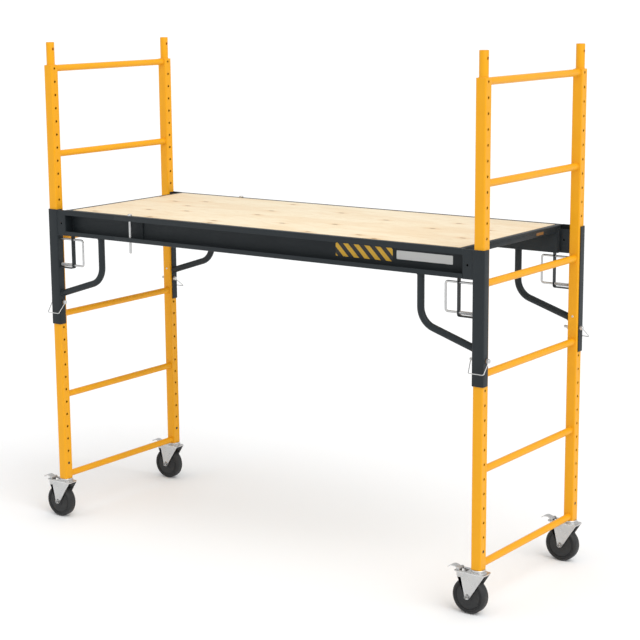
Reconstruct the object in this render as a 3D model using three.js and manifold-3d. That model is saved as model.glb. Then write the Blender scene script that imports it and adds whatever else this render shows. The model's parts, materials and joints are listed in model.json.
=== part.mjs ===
// Baker scaffold: two ladder end frames on swivel casters carry a plywood deck between two
// steel side rails. Millimetres, +Z up, +X along the deck, -Y is the front. The origin is the
// middle of the scaffold's box, on the floor.
import * as THREE from "three";
import { mergeVertices } from "three/addons/utils/BufferGeometryUtils.js";
import Module from "manifold-3d";

const wasm = await Module();
wasm.setup();

// ---- Driving dimensions ----
const GAP = 0.3; // between pieces that touch
const WELD = 0.5; // how far welded members run into each other
const TOLERANCE = 0.01; // slivers thinner than this are smoothed away
const GRID = 1024; // corners sit on whole parts of a millimetre, so flush faces are exactly flush

// End frames
const SPAN = 1929; // post centre to post centre, along X
const WIDTH = 665; // post centre to post centre, along Y
const POST = 38.1; // square tube
const POST_WALL = 2.2;
const POST_CORNER = 4;
const POST_BOTTOM = 162.5;
const POST_TOP = 1814;
const HOLE_PITCH = 50.8;
const HOLE_COUNT = 32;
const FIRST_HOLE = 226.5; // height of the lowest hole, which also pins the caster stem
const HOLE_RADIUS = 5.5;
const HOLE_SIDES = 6; // a plain outline, about 9.5 mm across its flats
const BORE_SIDES = 8;
const ROD_SIDES = 12;
const TUBE_SIDES = 10;
const COUPLER_RADIUS = 15.9; // round stub that joins the next frame on top
const COUPLER_WALL = 2.4;
const COUPLER_TOP = 1901.5;
const COUPLER_SEAT = 40; // how far the stub goes down into the post
const COUPLER_HOLE = 1875.3;
const RUNG_RADIUS = 12.7;
const RUNG_WALL = 1.8;
const RUNGS_BELOW_TOP_HOLE = [32, 25.5, 19, 13, 6.5, 0]; // in hole pitches

// Platform
const DECK_TOP = 1257;
const DECK_THICKNESS = 12.7;
const RAIL_BOTTOM = 1157;
const RAIL_SHEET = 3;
const RAIL_FACE = 18.9; // outer face of the rail, from the post's centre plane
const RAIL_DEPTH = 45.5;
const RIM = 22.4; // width of the rail's and end beam's top rim around the deck
const TOP_LIP = 20;
const BOTTOM_LIP = 17;
const BEAM_DEPTH = 25;
const BEAM_RIM = 21;
const LEDGE = 22; // how far the end beam's ledge reaches under the deck
const STRIP = { height: 13, proud: 3, foot: 1, reach: 446 };
const BEARER = 25; // square tube under the middle of the deck

// Corner bracket: collar, plate and latch strap, one weldment
const COLLAR_BOTTOM = 800;
const COLLAR_SHEET = 3.2;
const COLLAR_PLAY = 0.4;
const COLLAR_REACH = 9.5; // how far the flanges pass the post's centre plane, inward
const PLATE_WIDTH = 41;
const PLATE_HOLE = { fromCollar: 21, height: 1204, radius: 4.5 };
const STRAP = { out: 87.5, width: 19, sheet: 3, bottom: 1026, bend: 8 };
const BRACE = { out: 235.5, radius: 12.7, wall: 1.8, bend: 72, foot: 923, knee: 992 };

// Rail splice, at the left end of both rails
const SPLICE = { lip: 640, web: 535, liner: 3, pin: 572, pinOut: 7 };
const JOINT_PIN = { radius: 5, bottom: 1113.5, head: 9, headHeight: 6, boss: 8, bossHeight: 5 };

// Latch loop and lock pin
const LATCH_HOLES = [16, 18]; // hole numbers above the lowest
const LATCH = { radius: 4, tip: 4, out: 137.5, bend: 9 };
const LOCK_HOLE = 13;
const LOCK = { radius: 4.4, tip: 41, head: 34, headRadius: 8, hole: 8.5, wire: 1.6 };
const BAIL = { drop: 38, out: 45.5, headSide: 37.5, tipSide: 21, bend: 5 };

// Caster
const WHEEL = { radius: 63.5, width: 38, trail: 30, hub: 18, hubWidth: 42, groove: 52, bore: 6.8 };
const WHEEL_SHOULDER = 7;
const WHEEL_SIDES = 28;
const AXLE = { radius: 6, head: 8.5, headHeight: 6 };
const FORK = { sheet: 3, inside: 21.5, top: 149.5, back: 84, front: 38, width: 27, foot: 10 };
const FORK_CORNER = 12;
const RACE = { radius: 29, top: 155.5, bore: 12.8, sides: 16 };
const STEM = { neck: 12, radius: 15.2, top: 262, flange: 25, foot: 14, footHeight: 4 };
const PEDAL = { back: 72, height: 152, barrel: 4, pin: 2.4, width: 28, sheet: 3, tooth: 118 };
const PEDAL_STEPS = 8;
const WINDOW = { from: -79, to: -38 }; // in the fork's top plate, for the brake tooth

const HALF_SPAN = SPAN / 2;
const HALF_WIDTH = WIDTH / 2;
const HALF_POST = POST / 2;
const holeHeight = (number) => FIRST_HOLE + number * HOLE_PITCH;

// ---- Materials ----
function coat(color, roughness, metalness) {
  return new THREE.MeshStandardMaterial({ color, roughness, metalness });
}
const orangeCoat = coat(0xf2a531, 0.42, 0.1);
const blackCoat = coat(0x36393b, 0.45, 0.2);
const zinc = coat(0xc4c4c2, 0.35, 0.9);
const rubber = coat(0x343537, 0.8, 0);
const plywood = coat(0xf6dfb9, 0.7, 0);

// ---- Solids ----
// A three.js geometry as a solid that can be joined and cut.
function solid(geometry) {
  const bare = geometry.clone();
  bare.deleteAttribute("normal");
  bare.deleteAttribute("uv");
  bare.attributes.position.array.forEach((value, i, all) => {
    all[i] = Math.round(value * GRID) / GRID;
  });
  const merged = mergeVertices(bare, 1e-4);
  const mesh = new wasm.Mesh({
    numProp: 3,
    vertProperties: merged.attributes.position.array,
    triVerts: new Uint32Array(merged.index.array),
  });
  return new wasm.Manifold(mesh);
}

function geometryOf(made) {
  const { vertProperties, triVerts } = made.simplify(TOLERANCE).getMesh();
  const geometry = new THREE.BufferGeometry();
  geometry.setAttribute("position", new THREE.BufferAttribute(vertProperties, 3));
  geometry.setIndex(new THREE.BufferAttribute(triVerts, 1));
  geometry.computeVertexNormals();
  return geometry;
}

function join(...parts) {
  return parts.reduce((all, next) => all.add(next));
}

function block([x0, x1], [y0, y1], [z0, z1]) {
  const geometry = new THREE.BoxGeometry(x1 - x0, y1 - y0, z1 - z0);
  return solid(geometry.translate((x0 + x1) / 2, (y0 + y1) / 2, (z0 + z1) / 2));
}

// A round or many-sided rod along an axis, from one end to the other, with its axis through at.
function rod(axis, radius, [from, to], at, sides = ROD_SIDES) {
  const geometry = new THREE.CylinderGeometry(radius, radius, to - from, sides);
  geometry.translate(0, (from + to) / 2, 0);
  if (axis === "x") geometry.rotateZ(-Math.PI / 2);
  if (axis === "z") geometry.rotateX(Math.PI / 2);
  return solid(geometry.translate(...at));
}

// An outline carried along an axis. The outline is in YZ for x, in XZ for y and in XY for z.
function prism(axis, outline, [from, to]) {
  const shape = new THREE.Shape(outline.map(([a, b]) => new THREE.Vector2(a, b)));
  const geometry = new THREE.ExtrudeGeometry(shape, { depth: to - from, bevelEnabled: false });
  const turn = new THREE.Matrix4();
  const [X, Y, Z] = [[1, 0, 0], [0, 1, 0], [0, 0, 1]].map((v) => new THREE.Vector3(...v));
  if (axis === "x") turn.makeBasis(Y, Z, X).setPosition(from, 0, 0);
  if (axis === "y") turn.makeBasis(X, Z, Y.negate()).setPosition(0, to, 0);
  if (axis === "z") turn.setPosition(0, 0, from);
  return solid(geometry.applyMatrix4(turn));
}

// The points of an arc about a centre, from one angle to another, in degrees.
function arc([x, y], radius, from, to, steps) {
  return Array.from({ length: steps + 1 }, (_, i) => {
    const angle = THREE.MathUtils.degToRad(from + ((to - from) * i) / steps);
    return [x + radius * Math.cos(angle), y + radius * Math.sin(angle)];
  });
}

function roundedSquare(size, radius, steps) {
  const inset = size / 2 - radius;
  return [
    ...arc([inset, inset], radius, 0, 90, steps),
    ...arc([-inset, inset], radius, 90, 180, steps),
    ...arc([-inset, -inset], radius, 180, 270, steps),
    ...arc([inset, -inset], radius, 270, 360, steps),
  ];
}

// A path through corners, each rounded off by an arc, that passes exactly through its points.
class BentPath extends THREE.Curve {
  constructor(corners, bend, steps) {
    super();
    const points = corners.map((c) => new THREE.Vector3(...c));
    this.points = [points[0]];
    for (let i = 1; i < points.length - 1; i += 1) {
      this.points.push(...BentPath.corner(points[i - 1], points[i], points[i + 1], bend, steps));
    }
    this.points.push(points.at(-1));
  }

  static corner(before, at, after, bend, steps) {
    const back = before.clone().sub(at).normalize();
    const on = after.clone().sub(at).normalize();
    const half = back.angleTo(on) / 2;
    const reach = bend / Math.tan(half);
    const middle = back.clone().add(on).normalize();
    const centre = at.clone().addScaledVector(middle, bend / Math.sin(half));
    const start = at.clone().addScaledVector(back, reach).sub(centre);
    const normal = start.clone().cross(at.clone().addScaledVector(on, reach).sub(centre)).normalize();
    const turn = Math.PI - 2 * half;
    return Array.from({ length: steps + 1 }, (_, i) =>
      start.clone().applyAxisAngle(normal, (turn * i) / steps).add(centre),
    );
  }

  get steps() {
    return this.points.length - 1;
  }

  getPoint(t) {
    const place = Math.min(Math.max(t, 0), 1) * this.steps;
    const index = Math.min(Math.floor(place), this.steps - 1);
    return this.points[index].clone().lerp(this.points[index + 1], place - index);
  }

  getPointAt(u) {
    return this.getPoint(u);
  }

  getTangentAt(u) {
    return this.getTangent(u);
  }
}

function wire(corners, radius, bend, steps, sides) {
  const path = new BentPath(corners, bend, steps);
  const ring = arc([0, 0], radius, 0, 360, sides).slice(0, -1);
  const shape = new THREE.Shape(ring.map(([a, b]) => new THREE.Vector2(a, b)));
  const settings = { steps: path.steps, bevelEnabled: false, extrudePath: path };
  return solid(new THREE.ExtrudeGeometry(shape, settings));
}

// ---- End frames ----
function post() {
  const inside = POST - 2 * POST_WALL;
  const outer = prism("z", roundedSquare(POST, POST_CORNER, 1), [POST_BOTTOM, POST_TOP]);
  const hollow = prism("z", roundedSquare(inside, POST_CORNER / 2, 1), [POST_BOTTOM - 1, POST_TOP - 3]);
  const seat = POST_TOP - COUPLER_SEAT;
  const coupler = rod("z", COUPLER_RADIUS, [seat, COUPLER_TOP], [0, 0, 0]);
  const bore = rod("z", COUPLER_RADIUS - COUPLER_WALL, [seat - 1, COUPLER_TOP + 1], [0, 0, 0]);
  const body = outer.subtract(hollow).add(coupler).subtract(bore);
  const holes = Array.from({ length: HOLE_COUNT }, (_, i) => hole(holeHeight(i)));
  return body.subtract(join(...holes, hole(COUPLER_HOLE)));
}

function hole(height) {
  return rod("x", HOLE_RADIUS, [-POST, POST], [0, 0, height], HOLE_SIDES);
}

function rung() {
  const reach = HALF_WIDTH - HALF_POST - GAP;
  const outer = rod("y", RUNG_RADIUS, [-reach, reach], [0, 0, 0], TUBE_SIDES);
  const bore = rod("y", RUNG_RADIUS - RUNG_WALL, [-reach - 1, reach + 1], [0, 0, 0], TUBE_SIDES);
  return outer.subtract(bore);
}

// ---- Corner brackets, in a corner's own frame: +x away from the deck, +y away from the middle ----
const COLLAR_FACE = HALF_POST + COLLAR_PLAY + COLLAR_SHEET; // outer face of the collar
const PLATE_EDGE = -COLLAR_FACE - PLATE_WIDTH; // inner edge of the corner plate
const ledgeTop = DECK_TOP - DECK_THICKNESS - GAP;

function railOutline(face) {
  const web = face - RAIL_DEPTH;
  const sheet = RAIL_SHEET;
  return [
    [face, DECK_TOP - TOP_LIP],
    [face, DECK_TOP],
    [face - RIM, DECK_TOP],
    [face - RIM, ledgeTop],
    [web - sheet, ledgeTop],
    [web - sheet, RAIL_BOTTOM],
    [face, RAIL_BOTTOM],
    [face, RAIL_BOTTOM + BOTTOM_LIP],
    [face - sheet, RAIL_BOTTOM + BOTTOM_LIP],
    [face - sheet, RAIL_BOTTOM + sheet],
    [web, RAIL_BOTTOM + sheet],
    [web, ledgeTop - sheet],
    [face - RIM + sheet, ledgeTop - sheet],
    [face - RIM + sheet, DECK_TOP - sheet],
    [face - sheet, DECK_TOP - sheet],
    [face - sheet, DECK_TOP - TOP_LIP],
  ];
}

// The liner channel that slides into the long rail, in section.
function linerOutline(low, high) {
  const back = RAIL_FACE - RAIL_DEPTH + GAP;
  const front = RAIL_FACE - RAIL_SHEET - GAP;
  const sheet = SPLICE.liner;
  return [
    [back, low],
    [front, low],
    [front, low + sheet],
    [back + sheet, low + sheet],
    [back + sheet, high - sheet],
    [front, high - sheet],
    [front, high],
    [back, high],
  ];
}

// The short rail welded to a left bracket, with its liner channel.
function railEndSection() {
  const web = RAIL_FACE - RAIL_DEPTH;
  const lipEnd = SPLICE.lip - HALF_SPAN + GAP;
  const webEnd = SPLICE.web - HALF_SPAN;
  const low = RAIL_BOTTOM + RAIL_SHEET + GAP;
  const high = ledgeTop - RAIL_SHEET - GAP;
  const bossFoot = low + SPLICE.liner;
  const end = PLATE_EDGE + WELD;
  return join(
    prism("x", railOutline(RAIL_FACE), [lipEnd, end]),
    prism("x", linerOutline(low, high), [webEnd, end]),
    block([lipEnd + WELD, end], [web - WELD, web + 2 * WELD], [low + WELD, high - WELD]),
    jointPinRod(JOINT_PIN.boss, [bossFoot - WELD, bossFoot + JOINT_PIN.bossHeight]),
  ).subtract(jointPinRod(JOINT_PIN.radius + GAP, [RAIL_BOTTOM - 1, DECK_TOP + 1]));
}

// A rod on the rail joint pin's axis, in a left corner's frame.
function jointPinRod(radius, range) {
  return rod("z", radius, range, [SPLICE.pin - HALF_SPAN, SPLICE.pinOut, 0]);
}

function latchStrap() {
  const { out, width, sheet, bottom, bend } = STRAP;
  const side = [-width / 2, width / 2];
  const centre = [-out + bend, bottom + bend];
  const outline = [
    [-COLLAR_FACE + 1, bottom],
    [-COLLAR_FACE + 1, bottom + sheet],
    ...arc(centre, bend - sheet, 270, 180, 3),
    [-out + sheet, RAIL_BOTTOM - GAP],
    [-out, RAIL_BOTTOM - GAP],
    ...arc(centre, bend, 180, 270, 3),
  ];
  return prism("y", outline, side);
}

function cornerBracket(withRail) {
  const inner = HALF_POST + COLLAR_PLAY;
  const flange = [-COLLAR_REACH, COLLAR_FACE];
  const tall = [COLLAR_BOTTOM, DECK_TOP];
  const plateFace = [RAIL_FACE - COLLAR_SHEET, RAIL_FACE];
  const innerPlate = [-COLLAR_REACH - COLLAR_SHEET, -COLLAR_REACH + WELD];
  const shell = block([-COLLAR_FACE, COLLAR_FACE], flange, tall);
  const hollow = block([-inner, inner], [-COLLAR_REACH - 1, inner], [COLLAR_BOTTOM - 1, DECK_TOP + 1]);
  const parts = [
    shell.subtract(hollow),
    block([PLATE_EDGE, -inner], plateFace, [RAIL_BOTTOM, DECK_TOP]),
    block(
      [PLATE_EDGE, PLATE_EDGE + COLLAR_SHEET],
      [RAIL_FACE - RAIL_DEPTH - RAIL_SHEET, RAIL_FACE],
      [RAIL_BOTTOM, ledgeTop],
    ),
    block([PLATE_EDGE + WELD, -inner], innerPlate, [RAIL_BOTTOM + WELD, ledgeTop - WELD]),
    latchStrap(),
  ];
  if (withRail) parts.push(railEndSection());
  const latchBores = LATCH_HOLES.map((n) =>
    rod("x", LATCH.radius + GAP, [-STRAP.out - 5, -inner + 1], [0, 0, holeHeight(n)], BORE_SIDES),
  );
  const lockBore = rod("x", LOCK.hole, [-POST, POST], [0, 0, holeHeight(LOCK_HOLE)], BORE_SIDES);
  const { fromCollar, height, radius } = PLATE_HOLE;
  const plateBore = rod("y", radius, [-POST, POST], [-COLLAR_FACE - fromCollar, 0, height], BORE_SIDES);
  return join(...parts).subtract(join(...latchBores, lockBore, plateBore));
}

function brace() {
  const { out, radius, wall, bend, foot, knee } = BRACE;
  const past = 10; // the tube is drawn into the collar, then cut off square with it
  const slope = (knee - foot) / (out - COLLAR_FACE);
  const bends = [
    [-out, 0, knee],
    [-COLLAR_FACE + past, 0, foot - slope * past],
  ];
  const tube = wire([[-out, 0, RAIL_BOTTOM - GAP], ...bends], radius, bend, 4, TUBE_SIDES);
  const bore = wire([[-out, 0, RAIL_BOTTOM + 1], ...bends], radius - wall, bend, 4, TUBE_SIDES);
  const collar = block([-COLLAR_FACE - GAP, POST], [-POST, POST], [foot - POST, foot + POST]);
  return tube.subtract(bore).subtract(collar);
}

// ---- Platform ----
function sideRail() {
  const face = HALF_WIDTH + RAIL_FACE;
  const rail = prism("x", railOutline(face), [-SPLICE.lip, HALF_SPAN + PLATE_EDGE - GAP]);
  const hole = [-SPLICE.pin, HALF_WIDTH + SPLICE.pinOut, 0];
  return rail.subtract(rod("z", JOINT_PIN.radius + GAP, [RAIL_BOTTOM - 1, DECK_TOP + 1], hole));
}

// Built for the right end. The strip is a flat bar welded along the outer face.
function endBeam() {
  const face = HALF_SPAN + PLATE_EDGE - GAP;
  const rim = face - BEAM_RIM;
  const sheet = RAIL_SHEET;
  const webFace = HALF_WIDTH + RAIL_FACE - RAIL_DEPTH - sheet - GAP;
  const rimFace = HALF_WIDTH + RAIL_FACE - RIM - GAP;
  const outline = [
    [face, DECK_TOP - BEAM_DEPTH],
    [face, DECK_TOP],
    [rim, DECK_TOP],
    [rim, ledgeTop],
    [rim - LEDGE, ledgeTop],
    [rim - LEDGE, ledgeTop - sheet],
    [rim + sheet, ledgeTop - sheet],
    [rim + sheet, DECK_TOP - sheet],
    [face - sheet, DECK_TOP - sheet],
    [face - sheet, DECK_TOP - BEAM_DEPTH],
  ];
  const low = DECK_TOP - BEAM_DEPTH + STRIP.foot;
  const round = STRIP.height / 2;
  const stripEnd = -webFace + STRIP.reach;
  const bar = [
    [-webFace, low],
    ...arc([stripEnd - round, low + round], round, -90, 90, 6),
    [-webFace, low + STRIP.height],
  ];
  const strip = prism("x", bar, [face - 1, face + STRIP.proud]);
  const under = [DECK_TOP - 2 * BEAM_DEPTH, ledgeTop + GAP];
  return join(prism("y", outline, [-rimFace, rimFace]), strip)
    .subtract(block([0, SPAN], [webFace, WIDTH], under))
    .subtract(block([0, SPAN], [-WIDTH, -webFace], under));
}

function deckPanel() {
  const halfLength = HALF_SPAN + PLATE_EDGE - BEAM_RIM - 2 * GAP;
  const halfWidth = HALF_WIDTH + RAIL_FACE - RIM - GAP;
  const across = [-halfWidth, halfWidth];
  return block([-halfLength, halfLength], across, [DECK_TOP - DECK_THICKNESS, DECK_TOP]);
}

function deckBearer() {
  const reach = HALF_WIDTH + RAIL_FACE - RAIL_DEPTH - RAIL_SHEET - GAP;
  const top = ledgeTop;
  const outer = block([-BEARER / 2, BEARER / 2], [-reach, reach], [top - BEARER, top]);
  const inset = BEARER / 2 - RAIL_SHEET / 2;
  const inner = [top - BEARER + RAIL_SHEET / 2, top - RAIL_SHEET / 2];
  return outer.subtract(block([-inset, inset], [-reach - 1, reach + 1], inner));
}

// ---- Pins and latches ----
function latchLoop() {
  const [low, high] = LATCH_HOLES.map(holeHeight);
  const corners = [
    [-LATCH.tip, 0, low],
    [-LATCH.out, 0, low],
    [-LATCH.out, 0, high],
    [-LATCH.tip, 0, high],
  ];
  return wire(corners, LATCH.radius, LATCH.bend, 3, 8);
}

// The lock pin and its wire bail, about the pin's own axis.
function lockPin() {
  const headEnd = COLLAR_FACE + 1;
  const bail = [
    [LOCK.head - 3, 0, 0],
    [BAIL.headSide, BAIL.out, -BAIL.drop],
    [-BAIL.tipSide, BAIL.out, -BAIL.drop],
    [-LOCK.tip + 3, 0, 0],
  ];
  return join(
    rod("x", LOCK.radius, [-LOCK.tip, headEnd + 1], [0, 0, 0], BORE_SIDES),
    rod("x", LOCK.headRadius, [headEnd, LOCK.head], [0, 0, 0], BORE_SIDES),
    wire(bail, LOCK.wire, BAIL.bend, 3, 6),
  );
}

function jointPin() {
  const at = [-SPLICE.pin, HALF_WIDTH + SPLICE.pinOut, 0];
  const seat = DECK_TOP + GAP;
  return join(
    rod("z", JOINT_PIN.radius, [JOINT_PIN.bottom, seat + 1], at),
    rod("z", JOINT_PIN.head, [seat, seat + JOINT_PIN.headHeight], at),
  );
}

// ---- Casters, about the stem's axis, trailing towards -X ----
function casterStem() {
  const under = FORK.top - FORK.sheet - GAP;
  return join(
    rod("z", STEM.foot, [under - STEM.footHeight, under], [0, 0, 0]),
    rod("z", STEM.neck, [under - 1, RACE.top + 1], [0, 0, 0]),
    rod("z", STEM.flange, [RACE.top + GAP, POST_BOTTOM - GAP], [0, 0, 0]),
    rod("z", STEM.radius, [POST_BOTTOM - 1, STEM.top], [0, 0, 0]),
  ).subtract(hole(FIRST_HOLE));
}

function fork() {
  const { sheet, inside, top, back, front, width, foot } = FORK;
  const nose = FORK_CORNER;
  const plan = [
    ...arc([front - nose, width - nose], nose, 0, 90, 1),
    ...arc([-back + nose, width - nose], nose, 90, 180, 1),
    ...arc([-back + nose, -width + nose], nose, 180, 270, 1),
    ...arc([front - nose, -width + nose], nose, 270, 360, 1),
  ];
  const side = [
    [-back + nose, top - 1],
    [-back + nose, top - 20],
    [-47, top - 22],
    ...arc([-WHEEL.trail, WHEEL.radius], foot, 175, 328, 5),
    [front - 4, top - 4],
    [front - 4, top - 1],
  ];
  const lug = [
    [-PEDAL.back - 7, top - 1],
    ...arc([-PEDAL.back, PEDAL.height], 6, 180, 0, 3),
    [-PEDAL.back + 7, top - 1],
  ];
  const half = PEDAL.width / 2 + GAP;
  const window = block([WINDOW.from, WINDOW.to], [-half, half], [top - 2 * sheet, top + sheet]);
  return join(
    prism("z", plan, [top - sheet, top]).subtract(window),
    rod("z", RACE.radius, [top - 1, RACE.top], [0, 0, 0], RACE.sides),
    prism("y", side, [inside, inside + sheet]),
    prism("y", side, [-inside - sheet, -inside]),
    prism("y", lug, [half, half + sheet]),
    prism("y", lug, [-half - sheet, -half]),
  )
    .subtract(rod("z", RACE.bore, [top - 20, RACE.top + 1], [0, 0, 0]))
    .subtract(rod("y", AXLE.radius + GAP, [-POST, POST], [-WHEEL.trail, 0, WHEEL.radius], BORE_SIDES))
    .subtract(rod("y", PEDAL.pin + GAP, [-POST, POST], [-PEDAL.back, 0, PEDAL.height], BORE_SIDES));
}

// The pedal stays under the lowest rung, so that the caster can swivel right round.
function brakePedal() {
  const { back, height, barrel, pin, width, sheet, tooth } = PEDAL;
  const line = new THREE.SplineCurve([
    new THREE.Vector2(-back, height),
    new THREE.Vector2(-back - 11, height + 5.5),
    new THREE.Vector2(-back - 20, height + 8),
    new THREE.Vector2(-back - 29, height + 7.5),
    new THREE.Vector2(-back - 38, height + 3.5),
    new THREE.Vector2(-back - 45, height - 2),
  ]);
  const side = (offset) =>
    Array.from({ length: PEDAL_STEPS + 1 }, (_, i) => {
      const point = line.getPoint(i / PEDAL_STEPS);
      const tangent = line.getTangent(i / PEDAL_STEPS);
      return [point.x - tangent.y * offset, point.y + tangent.x * offset];
    });
  const outline = [...side(sheet / 2), ...side(-sheet / 2).reverse()];
  return join(
    prism("y", outline, [-width / 2, width / 2]),
    block([-back - sheet / 2, -back + sheet / 2], [-width / 2 + 2, width / 2 - 2], [tooth, height]),
    rod("y", barrel, [-width / 2, width / 2], [-back, 0, height], BORE_SIDES),
    rod("y", pin, [-width / 2 - sheet, width / 2 + sheet], [-back, 0, height], BORE_SIDES),
  );
}

function wheel() {
  const { radius, width, hub, hubWidth, groove, bore } = WHEEL;
  const half = width / 2;
  const quarter = [
    [bore, hubWidth / 2],
    [hub, hubWidth / 2],
    [hub, half - 3],
    [groove - 2, half - 3],
    [groove, half],
    [radius - WHEEL_SHOULDER, half],
    [radius, half - WHEEL_SHOULDER],
  ];
  const mirrored = quarter.map(([r, y]) => [r, -y]).reverse();
  const profile = [...quarter, ...mirrored, quarter[0]];
  const points = profile.reverse().map(([r, y]) => new THREE.Vector2(r, y));
  const made = new THREE.LatheGeometry(points, WHEEL_SIDES);
  return solid(made.translate(-WHEEL.trail, 0, WHEEL.radius));
}

function axleBolt() {
  const { radius, head, headHeight } = AXLE;
  const out = FORK.inside + FORK.sheet + GAP;
  const at = [-WHEEL.trail, 0, WHEEL.radius];
  return join(
    rod("y", radius, [-out - headHeight - 2, out + headHeight], at, BORE_SIDES),
    rod("y", head, [out, out + headHeight], at, 6),
    rod("y", head, [-out - headHeight, -out], at, 6),
  );
}

// ---- Assembly ----
const scaffold = new THREE.Group();

function piece(parent, name, made, material) {
  const mesh = new THREE.Mesh(geometryOf(made), material);
  mesh.name = name;
  parent.add(mesh);
  return mesh;
}

// A group at a place, which may mirror what it holds.
function place([x, y, z], mirrorX = 1, mirrorY = 1) {
  const group = new THREE.Group();
  group.position.set(x, y, z);
  group.scale.set(mirrorX, mirrorY, 1);
  scaffold.add(group);
  return group;
}

const ENDS = [["left", -1], ["right", 1]];
const SIDES = [["front", -1], ["rear", 1]];

for (const [end, x] of ENDS) {
  RUNGS_BELOW_TOP_HOLE.forEach((pitches, i) => {
    const height = holeHeight(HOLE_COUNT - 1 - pitches);
    piece(place([x * HALF_SPAN, 0, height]), `rung_${end}_${i + 1}`, rung(), orangeCoat);
  });
  piece(place([0, 0, 0], x), `end_beam_${end}`, endBeam(), blackCoat);

  for (const [side, y] of SIDES) {
    const corner = `${side}_${end}`;
    const foot = [x * HALF_SPAN, y * HALF_WIDTH, 0];
    const mirrored = place(foot, x, y);
    piece(mirrored, `post_${corner}`, post(), orangeCoat);
    piece(mirrored, `corner_bracket_${corner}`, cornerBracket(end === "left"), blackCoat);
    piece(mirrored, `brace_${corner}`, brace(), blackCoat);
    piece(mirrored, `latch_loop_${corner}`, latchLoop(), zinc);

    const pinPlace = place([foot[0], foot[1], holeHeight(LOCK_HOLE)], 1, y);
    piece(pinPlace, `lock_pin_${corner}`, lockPin(), zinc);

    const caster = place(foot);
    piece(caster, `caster_stem_${corner}`, casterStem(), zinc);
    piece(caster, `caster_fork_${corner}`, fork(), zinc);
    piece(caster, `caster_wheel_${corner}`, wheel(), rubber);
    piece(caster, `caster_axle_${corner}`, axleBolt(), zinc);
    piece(caster, `brake_pedal_${corner}`, brakePedal(), zinc);
  }
}

for (const [side, y] of SIDES) {
  const group = place([0, 0, 0], 1, y);
  piece(group, `side_rail_${side}`, sideRail(), blackCoat);
  piece(group, `rail_joint_pin_${side}`, jointPin(), zinc);
}
piece(scaffold, "deck_bearer", deckBearer(), blackCoat);
piece(scaffold, "deck_panel", deckPanel(), plywood);

// The casters trail to one side, so the box's middle isn't the frames' middle.
const box = new THREE.Box3().setFromObject(scaffold);
scaffold.position.x = -(box.min.x + box.max.x) / 2;

export default scaffold;
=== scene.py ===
"""Looks of the baker scaffold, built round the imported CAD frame.

Shapes are written in millimetres, and piece() turns them into metres. The materials, the studio
and the camera are in metres. A corner's own frame has its origin on the floor under the post, +x
away from the deck and +y away from the middle. The casters all point one way, so theirs is never
mirrored.
"""
import json
import math

import bmesh
import bpy
from mathutils import Matrix, Quaternion, Vector

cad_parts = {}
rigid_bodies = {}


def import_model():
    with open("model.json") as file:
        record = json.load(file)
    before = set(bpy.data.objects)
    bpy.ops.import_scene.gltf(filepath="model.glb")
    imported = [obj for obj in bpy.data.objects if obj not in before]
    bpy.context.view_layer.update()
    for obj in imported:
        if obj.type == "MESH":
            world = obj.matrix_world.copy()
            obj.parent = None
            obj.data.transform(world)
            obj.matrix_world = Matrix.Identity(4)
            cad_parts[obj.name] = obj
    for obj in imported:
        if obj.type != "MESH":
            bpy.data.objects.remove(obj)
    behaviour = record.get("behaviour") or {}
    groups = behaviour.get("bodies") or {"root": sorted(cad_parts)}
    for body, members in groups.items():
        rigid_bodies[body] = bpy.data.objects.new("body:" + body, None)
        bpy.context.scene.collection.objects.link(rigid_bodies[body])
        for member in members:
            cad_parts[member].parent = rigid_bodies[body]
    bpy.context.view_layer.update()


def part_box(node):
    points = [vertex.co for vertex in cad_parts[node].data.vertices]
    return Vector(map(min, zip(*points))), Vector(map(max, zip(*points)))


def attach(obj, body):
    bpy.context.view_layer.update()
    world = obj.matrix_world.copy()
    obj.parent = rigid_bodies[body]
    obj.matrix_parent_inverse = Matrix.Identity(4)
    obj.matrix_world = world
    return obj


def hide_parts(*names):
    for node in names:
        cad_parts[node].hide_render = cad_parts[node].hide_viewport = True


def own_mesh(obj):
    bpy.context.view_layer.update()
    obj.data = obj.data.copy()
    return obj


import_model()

MM = 0.001
SIDE_SIGN = {"front": -1, "rear": 1}
END_SIGN = {"left": -1, "right": 1}
CORNERS = [(side, end) for end in END_SIGN for side in SIDE_SIGN]

# ---- Dimensions, in millimetres ----
# GAP is left between neighbours. HALF_SPAN and HALF_WIDTH reach to the posts' middles.
GAP = 0.3
HALF_SPAN = 964.5
HALF_WIDTH = 332.5
POST = 38.1
POST_WALL = 2.2
POST_BOTTOM = 162.5
POST_TOP = 1814.0
PITCH = 50.8
FIRST_HOLE = 226.5
HOLES = 32
HOLE = {"radius": 4.8, "lowest": 5.6, "coupler": 5.3, "stem_pin": 5.4}
RIVET_HEIGHT = 930.0
COUPLER = {"radius": 15.9, "wall": 2.4, "bottom": POST_TOP - 40, "top": 1901.5, "hole": 1875.3}
RUNG = {"count": 6, "radius": 12.7, "wall": 1.8, "reach": HALF_WIDTH - POST / 2 - GAP}
DECK_TOP = 1257.0
DECK_SHEET = 12.7
LEDGE = DECK_TOP - DECK_SHEET - GAP
RAIL_BOTTOM = 1157.0
RAIL_FACE = 18.9
RAIL_DEPTH = 45.5
SHEET = 3.0
RIM = 22.4
BEAM_RIM = 21.0
COLLAR_FACE = 22.65
COLLAR_SHEET = 3.2
COLLAR_LOW = 800.0
PLATE_EDGE = -63.65
PLATE_HOLE = {"inboard": 21.0, "height": 1204.0, "radius": 4.5}
BEAM_FACE = HALF_SPAN + PLATE_EDGE - GAP
STRAP = {"out": 87.5, "width": 19.0, "bottom": 1026.0, "bend": 8.0}
BRACE = {"out": 235.5, "radius": 12.7, "bend": 72.0, "foot": 923.0, "knee": 992.0}
SPLICE = {"lip": 640.0, "web": 535.0, "pin": 572.0, "pin_out": 7.0, "hole": 5.3}
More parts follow.
